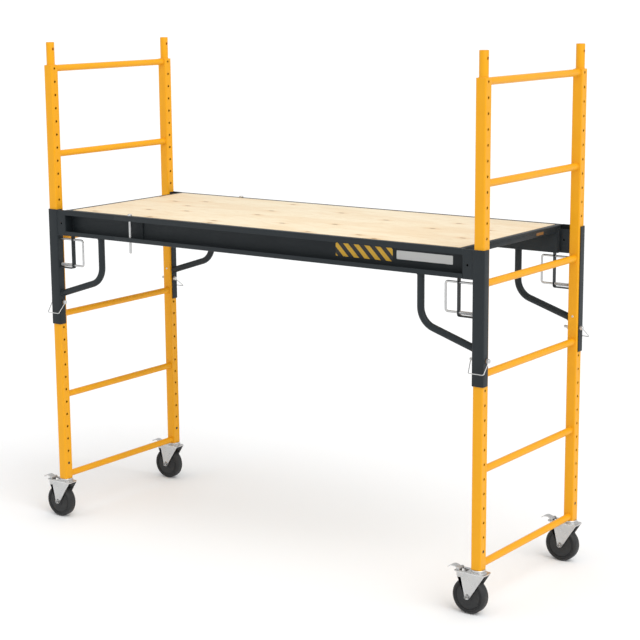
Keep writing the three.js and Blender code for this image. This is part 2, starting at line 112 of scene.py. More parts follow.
LATCH = {"low": FIRST_HOLE + 16 * PITCH, "high": FIRST_HOLE + 18 * PITCH, "out": 137.5, "radius": 4.0}
SPRING = {"start": 25.6, "end": 83.4, "turns": 13, "radius": 5.7, "wire": 0.85, "squashed": 0.7}
LOCK_HEIGHT = FIRST_HOLE + 13 * PITCH
LOCK_BORE = 8.5
WHEEL = {"radius": 63.5, "half": 19.0, "hub": 21.0, "trail": -30.0}
FORK = {"inner": 21.5, "outer": 24.5, "half": 27.0, "foot": 10.0}
AXLE_RADIUS = 6.0
NECK_RADIUS = 12.0
RACE_TOP = 155.5
FORK_TOP = 149.5
FORK_SHEET = 3.0
PEDAL = {"back": 72.0, "height": 152.0, "half": 14.0, "reach": 45.0, "tooth": 118.0, "sheet": 2.8}
PEDAL_PIN = 2.4

# SHIFT_X is where the middle of the frames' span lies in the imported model.
POST_LEFT_X = (sum(v.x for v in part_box("post_front_left")) / 2) / MM
SHIFT_X = POST_LEFT_X + HALF_SPAN


def foot(side, end):
    """The point on the floor under a post."""
    return Vector((END_SIGN[end] * HALF_SPAN + SHIFT_X, SIDE_SIGN[side] * HALF_WIDTH, 0))


def box_in_mm(node):
    """A CAD node's lowest and highest corners at rest."""
    low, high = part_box(node)
    return low / MM, high / MM


# ---- Materials ----
# The Mix node has a socket of each data type under one name, so those for colours go by number.
MIX_FACTOR, MIX_A, MIX_B, MIX_RESULT = 0, 6, 7, 2


class Paint:
    """A node material under construction."""

    def __init__(self, name):
        self.material = bpy.data.materials.new(name)
        self.material.use_nodes = True
        self.tree = self.material.node_tree
        self.shader = self.tree.nodes["Principled BSDF"]
        self.coords = self.node("ShaderNodeTexCoord").outputs["Object"]

    def node(self, kind, **settings):
        made = self.tree.nodes.new(kind)
        for key, value in settings.items():
            setattr(made, key, value)
        return made

    def link(self, source, target):
        self.tree.links.new(source, target)

    def stretched(self, scale):
        mapping = self.node("ShaderNodeMapping")
        mapping.inputs["Scale"].default_value = scale
        self.link(self.coords, mapping.inputs["Vector"])
        return mapping.outputs["Vector"]

    def noise(self, scale, detail, vector=None, roughness=0.55):
        made = self.node("ShaderNodeTexNoise")
        made.inputs["Scale"].default_value = scale
        made.inputs["Detail"].default_value = detail
        made.inputs["Roughness"].default_value = roughness
        self.link(self.coords if vector is None else vector, made.inputs["Vector"])
        return made.outputs["Fac"]

    def ramp(self, fac, stops):
        """Grey levels by place: stops are (place, level) pairs."""
        made = self.node("ShaderNodeValToRGB")
        elements = made.color_ramp.elements
        while len(elements) < len(stops):
            elements.new(0.5)
        for element, (place, level) in zip(elements, stops):
            element.position = place
            element.color = (level, level, level, 1)
        self.link(fac, made.inputs["Fac"])
        return made.outputs["Color"]

    def mix(self, fac, a, b):
        """From colour a to colour b by fac. Each colour is three numbers or a socket."""
        made = self.node("ShaderNodeMix", data_type="RGBA")
        self.link(fac, made.inputs[MIX_FACTOR])
        for value, socket in ((a, made.inputs[MIX_A]), (b, made.inputs[MIX_B])):
            if isinstance(value, bpy.types.NodeSocket):
                self.link(value, socket)
            else:
                socket.default_value = (*value, 1)
        return made.outputs[MIX_RESULT]

    def math(self, operation, a, b=0.0):
        made = self.node("ShaderNodeMath", operation=operation)
        for value, socket in ((a, made.inputs[0]), (b, made.inputs[1])):
            if isinstance(value, bpy.types.NodeSocket):
                self.link(value, socket)
            else:
                socket.default_value = value
        return made.outputs["Value"]

    def edge_highlight_mask(self, width, low, high):
        """Near 1 along sharp edges and 0 on flat faces, broken up by noise. It masks the painted
        highlights along edges.
        """
        bevel = self.node("ShaderNodeBevel", samples=4)
        bevel.inputs["Radius"].default_value = width
        geometry = self.node("ShaderNodeNewGeometry")
        dot = self.node("ShaderNodeVectorMath", operation="DOT_PRODUCT")
        self.link(bevel.outputs["Normal"], dot.inputs[0])
        self.link(geometry.outputs["Normal"], dot.inputs[1])
        away = self.math("SUBTRACT", 1.0, dot.outputs["Value"])
        broken = self.math("MULTIPLY", away, self.noise(180, 4))
        return self.ramp(broken, [(low, 0.0), (high, 1.0)])

    def bump(self, height, strength, distance, under=None):
        made = self.node("ShaderNodeBump")
        made.inputs["Strength"].default_value = strength
        made.inputs["Distance"].default_value = distance
        self.link(height, made.inputs["Height"])
        if under is not None:
            self.link(under, made.inputs["Normal"])
        return made.outputs["Normal"]

    def finish(self, color, roughness, normal, metallic=0.0, specular=0.5):
        for value, name in ((color, "Base Color"), (roughness, "Roughness"), (normal, "Normal")):
            if isinstance(value, bpy.types.NodeSocket):
                self.link(value, self.shader.inputs[name])
            else:
                self.shader.inputs[name].default_value = value
        self.shader.inputs["Metallic"].default_value = metallic
        self.shader.inputs["Specular IOR Level"].default_value = specular
        return self.material


def powder_coat(name, dark, light, worn, edge_light_and_wear, roughness, specular):
    """Sprayed and baked paint: orange-peel surface, slight mottling, and edges lightened as rubbed
    wear and as painted highlight.
    """
    p = Paint(name)
    mottled = p.mix(p.noise(9, 5), dark, light)
    specks = p.ramp(p.noise(900, 2), [(0.62, 0.0), (0.72, 1.0)])
    speckled = p.mix(p.math("MULTIPLY", specks, 0.12), mottled, worn)
    # Painted highlight mixed with wear: sharp edges are lightened towards the worn colour, standing in
    # for light catching the edges as well as for rubbed paint.
    lit_and_worn_edge = p.edge_highlight_mask(0.0016, 0.03, 0.20)
    color = p.mix(p.math("MULTIPLY", lit_and_worn_edge, edge_light_and_wear), speckled, worn)
    rough = p.ramp(p.noise(60, 4), [(0.3, roughness - 0.05), (0.7, roughness + 0.07)])
    peel = p.bump(p.noise(420, 3), 0.16, 0.0006)
    normal = p.bump(p.noise(2600, 2), 0.10, 0.0002, peel)
    return p.finish(color, rough, normal, specular=specular)


def zinc_plate(name, dark, light):
    """Zinc plating: a drawn grain, a cloudy sheen, faint stains, and edges painted bright as
    highlight.
    """
    p = Paint(name)
    cloud = p.mix(p.noise(35, 5), dark, light)
    stained = p.ramp(p.noise(120, 6), [(0.60, 0.0), (0.78, 1.0)])
    stain = p.mix(p.math("MULTIPLY", stained, 0.35), cloud, (0.30, 0.29, 0.27))
    # Painted highlight: the sharp edges are lightened almost to white, standing in for glints along
    # them.
    color = p.mix(p.edge_highlight_mask(0.0025, 0.02, 0.12), stain, (0.95, 0.95, 0.95))
    rough = p.ramp(p.noise(90, 4), [(0.3, 0.24), (0.7, 0.42)])
    drawn = p.noise(500, 3, p.stretched((0.15, 1, 1)))
    normal = p.bump(drawn, 0.10, 0.0003)
    return p.finish(color, rough, normal, metallic=0.85)


def black_rubber(name):
    """Hard wheel rubber: dusty charcoal with fine moulded texture."""
    p = Paint(name)
    base = p.mix(p.noise(40, 5), (0.011, 0.0115, 0.012), (0.024, 0.0245, 0.0255))
    scuffs = p.ramp(p.noise(260, 6), [(0.60, 0.0), (0.80, 1.0)])
    color = p.mix(p.math("MULTIPLY", scuffs, 0.3), base, (0.06, 0.06, 0.058))
    rough = p.ramp(p.noise(150, 4), [(0.3, 0.48), (0.7, 0.68)])
    normal = p.bump(p.noise(1400, 4), 0.22, 0.0003)
    return p.finish(color, rough, normal, specular=0.45)


def plywood(name):
    """Pale pine face veneer with its grain along x, knots, and the plies on the edges."""
    p = Paint(name)
    sway = p.node("ShaderNodeCombineXYZ")
    p.link(p.math("MULTIPLY", p.noise(3, 3), 0.05), sway.inputs["Y"])
    swayed = p.node("ShaderNodeVectorMath", operation="ADD")
    p.link(p.stretched((0.10, 1, 1)), swayed.inputs[0])
    p.link(sway.outputs["Vector"], swayed.inputs[1])
    grain_space = swayed.outputs["Vector"]
    fine = p.noise(240, 5, grain_space, 0.65)
    broad = p.noise(26, 4, grain_space)
    base = p.mix(broad, (0.88, 0.74, 0.51), (0.95, 0.84, 0.64))
    streaks = p.ramp(fine, [(0.50, 0.0), (0.74, 1.0)])
    grained = p.mix(p.math("MULTIPLY", streaks, 0.55), base, (0.66, 0.43, 0.20))
    boards = p.noise(7, 2, p.stretched((0.35, 1, 1)))
    toned = p.mix(p.ramp(boards, [(0.45, 0.0), (0.60, 0.35)]), grained, (0.80, 0.58, 0.33))
    # A knot, with its halo, sits at each cell's own point.
    cells = p.node("ShaderNodeTexVoronoi", feature="F1", voronoi_dimensions="2D")
    cells.inputs["Scale"].default_value = 7.0
    cells.inputs["Randomness"].default_value = 1.0
    p.link(p.stretched((0.40, 1, 1)), cells.inputs["Vector"])
    knot = p.ramp(cells.outputs["Distance"], [(0.024, 1.0), (0.046, 0.0)])
    halo = p.ramp(cells.outputs["Distance"], [(0.03, 0.55), (0.13, 0.0)])
    haloed = p.mix(halo, toned, (0.72, 0.44, 0.19))
    heart = p.mix(p.noise(5, 1), (0.42, 0.19, 0.06), (0.09, 0.07, 0.06))
    faced = p.mix(p.math("MULTIPLY", knot, 0.85), haloed, heart)
    # The plies show wherever the surface isn't level.
    plies = p.node("ShaderNodeTexWave", bands_direction="Z")
    plies.inputs["Scale"].default_value = 75.0
    plies.inputs["Distortion"].default_value = 0.4
    p.link(p.coords, plies.inputs["Vector"])
    layered = p.mix(plies.outputs["Fac"], (0.46, 0.29, 0.14), (0.80, 0.62, 0.38))
    geometry = p.node("ShaderNodeNewGeometry")
    parts = p.node("ShaderNodeSeparateXYZ")
    p.link(geometry.outputs["Normal"], parts.inputs["Vector"])
    flat = p.ramp(p.math("ABSOLUTE", parts.outputs["Z"]), [(0.5, 0.0), (0.7, 1.0)])
    color = p.mix(flat, layered, faced)
    rough = p.ramp(fine, [(0.3, 0.52), (0.7, 0.72)])
    normal = p.bump(fine, 0.18, 0.0006)
    return p.finish(color, rough, normal)


def barred_print(name, ink, gap):
    """A screened patch of plain slanted bars."""
    p = Paint(name)
    wave = p.node("ShaderNodeTexWave", bands_direction="DIAGONAL")
    wave.inputs["Scale"].default_value = 14.0
    p.link(p.coords, wave.inputs["Vector"])
    bars = p.ramp(wave.outputs["Fac"], [(0.48, 0.0), (0.52, 1.0)])
    worn = p.ramp(p.noise(300, 5), [(0.30, 0.0), (0.36, 1.0)])
    color = p.mix(p.math("MULTIPLY", bars, worn), gap, ink)
    return p.finish(color, 0.45, p.bump(p.noise(900, 3), 0.1, 0.0003))


def plain_print(name, color):
    """A screened patch of one colour."""
    p = Paint(name)
    return p.finish((*color, 1), 0.45, p.bump(p.noise(900, 3), 0.1, 0.0003))


ORANGE = powder_coat(
    "orange_powder_coat",
    dark=(0.78, 0.340, 0.004),
    light=(0.86, 0.395, 0.006),
    worn=(0.92, 0.56, 0.12),
    edge_light_and_wear=0.35,
    roughness=0.38,
    specular=0.25,
)
# On the black, the lightened edges are painted highlight: lines of light along its edges.
BLACK = powder_coat(
    "black_powder_coat",
    dark=(0.0155, 0.0200, 0.0230),
    light=(0.0225, 0.0285, 0.0325),
    worn=(0.11, 0.115, 0.12),
    edge_light_and_wear=0.8,
    roughness=0.42,
    specular=0.20,
)
ZINC = zinc_plate("zinc_plate", (0.46, 0.465, 0.47), (0.66, 0.66, 0.655))
# Painted shade: the axle bolt gets a darker copy of the zinc, so that its nut reads as dark as it does
# in shade.
SHADE_DARKENED_ZINC = zinc_plate("shade_darkened_zinc_plate", (0.17, 0.17, 0.17), (0.28, 0.28, 0.275))
RUBBER = black_rubber("black_rubber")
PLY = plywood("plywood")
BAR_PRINT = barred_print("bar_print", (0.90, 0.52, 0.03), (0.02, 0.02, 0.02))
PALE_PRINT = plain_print("pale_print", (0.78, 0.78, 0.76))
WARM_PRINT = plain_print("warm_print", (0.20, 0.085, 0.012))


# ---- Solids: closed meshes in millimetres, as scratch objects ----
# A corner whose half angle is over STRAIGHT isn't rounded, and a rounded one takes up no more than
# MOST_OF_EDGE of each edge. Edges sharper than SHARP_EDGE are softened.
STRAIGHT = 1.5
MOST_OF_EDGE = 0.49
SHARP_EDGE = math.radians(38)
SMOOTH_BELOW = math.radians(34)


def raw(vertices, faces):
    """A scratch object of one closed mesh, its faces turned outwards."""
    mesh = bpy.data.meshes.new("raw")
    mesh.from_pydata([tuple(v) for v in vertices], [], faces)
    made = bpy.data.objects.new("raw", mesh)
    bpy.context.scene.collection.objects.link(made)
    shape = bmesh.new()
    shape.from_mesh(mesh)
    bmesh.ops.recalc_face_normals(shape, faces=shape.faces)
    shape.to_mesh(mesh)
    shape.free()
    return made


def rounded(outline, radius, steps):
    """The outline with each corner rounded. radius is a number, or one for each corner."""
    radii = radius if hasattr(radius, "__len__") else [radius] * len(outline)
    points = []
    for i, corner in enumerate(outline):
        here = Vector(corner)
        back = Vector(outline[i - 1]) - here
        on = Vector(outline[(i + 1) % len(outline)]) - here
        r = radii[i]
        half = back.angle(on) / 2
        if r <= 0 or half > STRAIGHT:
            points.append(tuple(here))
            continue
        reach = min(r / math.tan(half), MOST_OF_EDGE * back.length, MOST_OF_EDGE * on.length)
        bend = reach * math.tan(half)
        middle = here + (back.normalized() + on.normalized()).normalized() * bend / math.sin(half)
        start = here + back.normalized() * reach - middle
        end = here + on.normalized() * reach - middle
        turn = start.angle_signed(end)
        for k in range(steps + 1):
            angle = -turn * k / steps
            c, s = math.cos(angle), math.sin(angle)
            points.append((middle.x + start.x * c - start.y * s, middle.y + start.x * s + start.y * c))
    return points


def rounded_each(corners, steps):
    """The outline through (a, b, radius) corners."""
    return rounded([(a, b) for a, b, _ in corners], [r for _, _, r in corners], steps)


def rectangle(first, second):
    """The outline between two places along each of its axes."""
    (a0, a1), (b0, b1) = first, second
    return [(a0, b0), (a1, b0), (a1, b1), (a0, b1)]


def spline(corners, steps):
    """A smooth line through the corners (Catmull-Rom)."""
    points = [Vector(c) for c in corners]
    last = len(points) - 1
    line = []
    for i in range(last):
        p0, p1, p2, p3 = (points[min(max(k, 0), last)] for k in range(i - 1, i + 3))
        for k in range(steps):
            t = k / steps
            square = (2 * p0 - 5 * p1 + 4 * p2 - p3) * t * t
            cube = (3 * p1 - p0 - 3 * p2 + p3) * t ** 3
            line.append(0.5 * (2 * p1 + (p2 - p0) * t + square + cube))
    return [*line, points[-1]]


def thickened(line, thickness):
    """The closed outline of a strip along a line."""
    upper, lower = [], []
    for i, point in enumerate(line):
        tangent = (line[min(i + 1, len(line) - 1)] - line[max(i - 1, 0)]).normalized()
        normal = Vector((-tangent.y, tangent.x)) * thickness / 2
        upper.append(tuple(point + normal))
        lower.append(tuple(point - normal))
    return [*upper, *reversed(lower)]


PLANES = {
    "x": lambda a, b, t: (t, a, b),
    "y": lambda a, b, t: (a, t, b),
    "z": lambda a, b, t: (a, b, t),
}


def prism(axis, outline, ends):
    """An outline carried along an axis: it is in YZ for x, in XZ for y and in XY for z."""
    put = PLANES[axis]
    count = len(outline)
    vertices = [put(a, b, t) for t in ends for a, b in outline]
    sides = [(i, (i + 1) % count, count + (i + 1) % count, count + i) for i in range(count)]
    return raw(vertices, [tuple(range(count)), tuple(range(count, 2 * count)), *sides])


def block(xs, ys, zs):
    return prism("z", rectangle(xs, ys), zs)


def lathe(axis, profile, at=(0, 0, 0), sides=32):
    """A closed profile of (radius, place along the axis) turned about the axis through at."""
    put = PLANES[axis]
    rows = []
    vertices = []
    for r, t in profile:
        ring = 1 if r < 1e-6 else sides
        rows.append((len(vertices), ring))
        for k in range(ring):
            angle = 2 * math.pi * (k + 0.5) / sides
            place = put(r * math.cos(angle), r * math.sin(angle), t)
            vertices.append(tuple(a + b for a, b in zip(place, at)))
    faces = []
    closed = rows[0][1] > 1
    pairs = list(zip(rows, rows[1:])) + ([(rows[-1], rows[0])] if closed else [])
    for (a, na), (b, nb) in pairs:
        for k in range(sides):
            n = (k + 1) % sides
            corner = [a + k % na, a + n % na, b + n % nb, b + k % nb]
            face = tuple(dict.fromkeys(corner))
            if len(face) > 2:
                faces.append(face)
    return raw(vertices, faces)


def rod(axis, radius, ends, at=(0, 0, 0), sides=32, chamfer=0.0):
    """A round bar, with its two end edges chamfered if chamfer isn't 0."""
    low, high = ends
    edges = [(radius, low), (radius, high)]
    if chamfer:
        inner = radius - chamfer
        edges = [(inner, low), (radius, low + chamfer), (radius, high - chamfer), (inner, high)]
    return lathe(axis, [(0, low), *edges, (0, high)], at, sides)


def bent(corners, bend, steps):
    """The points of a path through corners, each rounded off."""
    points = [Vector(c) for c in corners]
    path = [points[0]]
    for before, at, after in zip(points, points[1:], points[2:]):
        back = (before - at).normalized()
        on = (after - at).normalized()
        half = back.angle(on) / 2
        shorter = min((before - at).length, (after - at).length)
        reach = min(bend / math.tan(half), MOST_OF_EDGE * shorter)
        centre = at + (back + on).normalized() * (reach / math.cos(half))
        start = at + back * reach - centre
        end = at + on * reach - centre
        normal = start.cross(end).normalized()
        turn = start.angle(end)
        for k in range(steps + 1):
            path.append(centre + Quaternion(normal, turn * k / steps) @ start)
    return [*path, points[-1]]


def sweep(path, radius, sides):
    """A round rod along a path. radius is a number, or one for each point."""
    path = [Vector(p) for p in path]
    radii = radius if hasattr(radius, "__len__") else [radius] * len(path)
    tangents = []
    for i in range(len(path)):
        ahead = path[min(i + 1, len(path) - 1)] - path[max(i - 1, 0)]
        tangents.append(ahead.normalized())
    guide = Vector((0, 0, 1)) if abs(tangents[0].z) < 0.9 else Vector((0, 1, 0))
    side = tangents[0].cross(guide).normalized()
    vertices = []
    for i, (point, tangent) in enumerate(zip(path, tangents)):
        if i:
            side = tangents[i - 1].rotation_difference(tangent) @ side
        other = tangent.cross(side)
        for k in range(sides):
            angle = 2 * math.pi * k / sides
            vertices.append(point + (side * math.cos(angle) + other * math.sin(angle)) * radii[i])
    faces = [tuple(range(sides)), tuple(range((len(path) - 1) * sides, len(path) * sides))]
    for i in range(len(path) - 1):
        for k in range(sides):
            n = (k + 1) % sides
            faces.append((i * sides + k, i * sides + n, (i + 1) * sides + n, (i + 1) * sides + k))
    return raw(vertices, faces)


def weld(points, radius):
    """A bead of weld metal along a path, with the ripples of the puddle."""
    ripple = 2.6
    path = []
    for a, b in zip(points, points[1:]):
        a, b = Vector(a), Vector(b)
        count = max(2, round((b - a).length / (ripple / 3)))
        path += [a.lerp(b, k / count) for k in range(count)]
    path.append(Vector(points[-1]))
    radii = [radius * (1 + 0.13 * math.sin(2.1 * k)) for k in range(len(path))]
    radii[0] = radii[-1] = radius * 0.45
    return sweep(path, radii, 8)


def ring_weld(axis, at, radius, bead):
    """A rippled bead round a tube's end."""
    put = PLANES[axis]
    sides, around = 72, 8
    vertices = []
    for k in range(sides):
        angle = 2 * math.pi * k / sides
        size = bead * (1 + 0.14 * math.sin(18 * angle) + 0.06 * math.sin(5 * angle))
        for j in range(around):
            turn = 2 * math.pi * j / around
            r = radius + size * math.cos(turn)
            place = put(r * math.cos(angle), r * math.sin(angle), size * math.sin(turn))
            vertices.append(tuple(a + b for a, b in zip(place, at)))
    faces = []
    for k in range(sides):
        for j in range(around):
            a, b = k * around, ((k + 1) % sides) * around
            n = (j + 1) % around
            faces.append((a + j, a + n, b + n, b + j))
    return raw(vertices, faces)


def evaluated(made):
    """Applies the object's modifiers."""
    graph = bpy.context.evaluated_depsgraph_get()
    mesh = bpy.data.meshes.new_from_object(made.evaluated_get(graph))
    made.modifiers.clear()
    made.data = mesh
    return made


def gather(*solids):
    """Several meshes as one object, each still its own shell."""
    first, *rest = solids
    shape = bmesh.new()
    for made in solids:
        shape.from_mesh(made.data)
    shape.to_mesh(first.data)
    shape.free()
    for made in rest:
        bpy.data.objects.remove(made)
    return first


def boolean(base, other, operation):
    """Changes base by other, and uses other up."""
    modifier = base.modifiers.new("boolean", "BOOLEAN")
    modifier.operation = operation
    modifier.solver = "MANIFOLD"
    modifier.object = other
    evaluated(base)
    bpy.data.objects.remove(other)
    return base


def fuse(*solids):
    base = solids[0]
    for other in solids[1:]:
        boolean(base, other, "UNION")
    return base


def cut(base, *cutters):
    for cutter in cutters:
        boolean(base, cutter, "DIFFERENCE")
    return base


def soften(made, width=0.5, segments=2):
    """Rounds the sharp edges a little, so that they catch the light."""
    bevel = made.modifiers.new("bevel", "BEVEL")
    bevel.width = width
    bevel.segments = segments
    bevel.limit_method = "ANGLE"
    bevel.angle_limit = SHARP_EDGE
    bevel.use_clamp_overlap = True
    return evaluated(made)


def piece(made, name, body, material, node=None, at=(0, 0, 0), mirror=(1, 1)):
    """A piece of the object from a copy of a scratch solid: mirrored, placed, painted, and riding
    on its body. It replaces the CAD node, if one is named."""
    mesh = made.data.copy()
    mesh.transform(Matrix.Diagonal((mirror[0] * MM, mirror[1] * MM, MM, 1)))
    if mirror[0] * mirror[1] < 0:
        mesh.flip_normals()
    mesh.materials.clear()
    mesh.materials.append(material)
    for polygon in mesh.polygons:
        polygon.use_smooth = True
        polygon.material_index = 0
    mesh.set_sharp_from_angle(angle=SMOOTH_BELOW)
    mesh.name = name
    own = bpy.data.objects.new(name, mesh)
    bpy.context.scene.collection.objects.link(own)
    own.location = Vector(at) * MM
    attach(own, body)
    if node:
        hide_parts(node)
    return own


# ---- End frames ----
def hole_cutter(axis, at, radius, reach, face, flare):
    """The cutter of a drilled hole with a slightly broken edge at both outer faces."""
    wide = radius + flare
    profile = [
        (0, -reach),
        (wide + reach - face, -reach),
        (wide, -face),
        (radius, -face + flare),
        (radius, face - flare),
        (wide, face),
        (wide + reach - face, reach),
        (0, reach),
    ]
    return lathe(axis, profile, at, 24)


def post():
    """The square tube with its holes, and the round coupler riveted into its top."""
    half = POST / 2
    inner = half - POST_WALL
    square = rectangle((-half, half), (-half, half))
    hollow = rectangle((-inner, inner), (-inner, inner))
    tube = prism("z", rounded(square, 4.0, 5), (POST_BOTTOM, POST_TOP))
    r, wall, low, top = (COUPLER[key] for key in ("radius", "wall", "bottom", "top"))
    stub = [(0, low), (r, low), (r, top - 1.5), (r - 1.0, top), (0, top)]
    body = fuse(tube, lathe("z", stub, sides=40))
    bore = rod("z", r - wall, (low - 1, top + 1), sides=40)
    body = cut(body, prism("z", rounded(hollow, 2.0, 4), (POST_BOTTOM - 1, POST_TOP - 3)))
    core = fuse(body, rod("z", r, (low, POST_TOP - 1), sides=40))
    holes = []
    for i in range(HOLES):
        radius = HOLE["radius"] if i else HOLE["lowest"]
        holes.append(hole_cutter("x", (0, 0, FIRST_HOLE + i * PITCH), radius, half + 3, half, 0.5))
    cross = hole_cutter("x", (0, 0, COUPLER["hole"]), HOLE["coupler"], r + 3, r - 0.8, 0.6)
    swage = ring_weld("z", (0, 0, POST_TOP), r + 0.5, 1.5)
    return gather(soften(cut(core, bore, gather(*holes, cross)), 0.35, 1), swage)


def rung():
    reach = RUNG["reach"]
    r, wall = RUNG["radius"], RUNG["wall"]
    tube = lathe("y", [(r - wall, -reach), (r, -reach), (r, reach), (r - wall, reach)], sides=40)
    beads = [ring_weld("y", (0, s * (reach - 1.2), 0), r + 0.6, 1.7) for s in (-1, 1)]
    return gather(tube, *beads)


def end_frames():
    post_solid = post()
    rung_solid = rung()
    for side, end in CORNERS:
        name = f"post_{side}_{end}"
        piece(post_solid, f"perforated_{name}", "frame", ORANGE, name, foot(side, end))
    # Painted shade: the stem pin in the lowest hole takes the black coat, so that the hole reads as
    # dark as the shade inside it.
    pin = rod("x", HOLE["stem_pin"], (-18.6, 18.6), (0, 0, FIRST_HOLE), 24, 0.4)
    at_rivet = (0, 0, RIVET_HEIGHT)
    rivet_foot = lathe("y", [(0, -19.5), (3.6, -19.5), (4.4, -18.8), (0, -18.8)], at_rivet, 28)
    dome = [(0, -20.9), (1.6, -20.9), (3.2, -20.2), (3.8, -19.4), (0, -19.4)]
    rivet = gather(rivet_foot, lathe("y", dome, at_rivet, 28))
    for side, end in CORNERS:
        mirror = (END_SIGN[end], SIDE_SIGN[side])
        piece(pin, f"stem_pin_{side}_{end}", "frame", BLACK, at=foot(side, end), mirror=mirror)
        piece(rivet, f"post_rivet_{side}_{end}", "frame", ZINC, at=foot(side, end), mirror=mirror)
    for end in END_SIGN:
        for number in range(1, RUNG["count"] + 1):
            name = f"rung_{end}_{number}"
            low, high = box_in_mm(name)
            piece(rung_solid, f"welded_{name}", "frame", ORANGE, name, (low + high) / 2)


# ---- Corner brackets ----
def rail_outline(face):
    """A side rail's section in YZ: the rim on top, the ledge, the web and the turned lip."""
    web = face - RAIL_DEPTH
    t = SHEET
    corners = [
        (face, DECK_TOP - 20, 0.8),
        (face, DECK_TOP, 3.6),
        (face - RIM, DECK_TOP, 3.6),
        (face - RIM, LEDGE, 1.0),
        (web - t, LEDGE, 3.6),
        (web - t, RAIL_BOTTOM, 3.6),
        (face, RAIL_BOTTOM, 3.6),
        (face, RAIL_BOTTOM + 17, 0.8),
        (face - t, RAIL_BOTTOM + 17, 0.8),
        (face - t, RAIL_BOTTOM + t, 1.0),
        (web, RAIL_BOTTOM + t, 1.0),
        (web, LEDGE - t, 1.0),
        (face - RIM + t, LEDGE - t, 3.0),
        (face - RIM + t, DECK_TOP - t, 1.0),
        (face - t, DECK_TOP - t, 1.0),
        (face - t, DECK_TOP - 20, 0.8),
    ]
    return rounded_each(corners, 4)


def joint_rod(radius, ends):
    """A round bar where the pin of the rail's joint goes, in a left corner's frame."""
    return rod("z", radius, ends, (SPLICE["pin"] - HALF_SPAN, SPLICE["pin_out"], 0))


def rail_end_section():
    """The short end of a side rail, with the liner that runs on into the long part."""
    web = RAIL_FACE - RAIL_DEPTH
    lip_end = SPLICE["lip"] - HALF_SPAN + GAP
    web_end = SPLICE["web"] - HALF_SPAN
    low = RAIL_BOTTOM + SHEET + GAP
    high = LEDGE - SHEET - GAP
    back = web + GAP
    front = RAIL_FACE - SHEET - GAP
    end = PLATE_EDGE + 0.5
    t = SHEET
    channel = [
        (back, low, 2.6), (front, low, 0.6), (front, low + t, 0.6), (back + t, low + t, 1),
        (back + t, high - t, 1), (front, high - t, 0.6), (front, high, 0.6), (back, high, 2.6),
    ]
    rail = prism("x", rail_outline(RAIL_FACE), (lip_end, end))
    liner = prism("x", rounded_each(channel, 3), (web_end, end))
    spacer = block((lip_end + 1, end), (web - 0.5, web + 1), (low + 2, high - 2))
    boss = joint_rod(8, (low + 2.5, low + 8))
    body = fuse(rail, spacer, liner, boss)
    return cut(body, joint_rod(SPLICE["hole"], (RAIL_BOTTOM - 1, DECK_TOP + 1)))


def strap_outline():
    """The latch's strap in XZ: out from the collar, and up to the rail."""
    out, low, bend = STRAP["out"], STRAP["bottom"], STRAP["bend"]
    inside = -COLLAR_FACE + 1
    high = RAIL_BOTTOM - GAP
    t = SHEET
    corners = [
        (inside, low, 0), (inside, low + t, 0), (-out + t, low + t, bend - t),
        (-out + t, high, 0), (-out, high, 0), (-out, low, bend),
    ]
    return rounded_each(corners, 6)


def corner_bracket(with_rail):
    """One weldment: the collar round the post, the corner plates, the latch's strap and, on the
    left, the short end of the side rail."""
    outer, inner = COLLAR_FACE, COLLAR_FACE - COLLAR_SHEET
    lip = -9.5
    channel = [
        (-outer, lip, 0.8), (-outer, outer, 5), (outer, outer, 5), (outer, lip, 0.8),
        (inner, lip, 0.8), (inner, inner, 2), (-inner, inner, 2), (-inner, lip, 0.8),
    ]
    collar = prism("z", rounded_each(channel, 5), (COLLAR_LOW, DECK_TOP))
    back = RAIL_FACE - RAIL_DEPTH - SHEET
    face, sheet, edge = RAIL_FACE, COLLAR_SHEET, PLATE_EDGE
    root = -inner - 1
    fold = [
        (root, face, 0), (edge, face, 3.4), (edge, back, 0.8),
        (edge + sheet, back, 0.8), (edge + sheet, face - sheet, 1), (root, face - sheet, 0),
    ]
    lower_plate = prism("z", rounded_each(fold, 4), (RAIL_BOTTOM, LEDGE))
    upper_faces = (face - sheet + 0.1, face - 0.01)
    upper_plate = block((edge + 0.2, root), upper_faces, (LEDGE - 6, DECK_TOP))
    inner_faces = (lip - sheet, lip + 0.5)
    inner_plate = block((edge + 0.5, -inner), inner_faces, (RAIL_BOTTOM + 0.5, LEDGE - 0.5))
    strap = prism("y", strap_outline(), (-STRAP["width"] / 2, STRAP["width"] / 2))
    parts = [collar, lower_plate, upper_plate, inner_plate, strap]
    if with_rail:
        parts.append(rail_end_section())
    latch_bore = LATCH["radius"] + 0.6
    bores = [
        rod("x", latch_bore, (-STRAP["out"] - 5, -inner + 1), (0, 0, LATCH[key]), 24)
        for key in ("low", "high")
    ]
    bores.append(rod("x", LOCK_BORE, (-POST, POST), (0, 0, LOCK_HEIGHT), 36))
    at_hole = (-COLLAR_FACE - PLATE_HOLE["inboard"], 0, PLATE_HOLE["height"])
    bores.append(rod("y", PLATE_HOLE["radius"], (-POST, POST), at_hole, 28))
    body = soften(cut(fuse(*parts), gather(*bores)), 0.5, 2)
    bead = STRAP["width"] / 2 - 1
    on_collar = -outer - 0.4
    on_strap = -STRAP["out"] + 1.5
    strap_top, rail_foot = STRAP["bottom"] + 3.6, RAIL_BOTTOM - 1
    beads = [
        weld([(on_collar, -bead, strap_top), (on_collar, bead, strap_top)], 1.8),
        weld([(on_collar, face - sheet - 0.6, z) for z in (1160, 1240)], 1.9),
        weld([(edge + 5, back + 4, z) for z in (RAIL_BOTTOM + 5, LEDGE - 5)], 1.6),
        weld([(on_strap, -bead, rail_foot), (on_strap, bead, rail_foot)], 1.6),
    ]
    return gather(body, *beads)


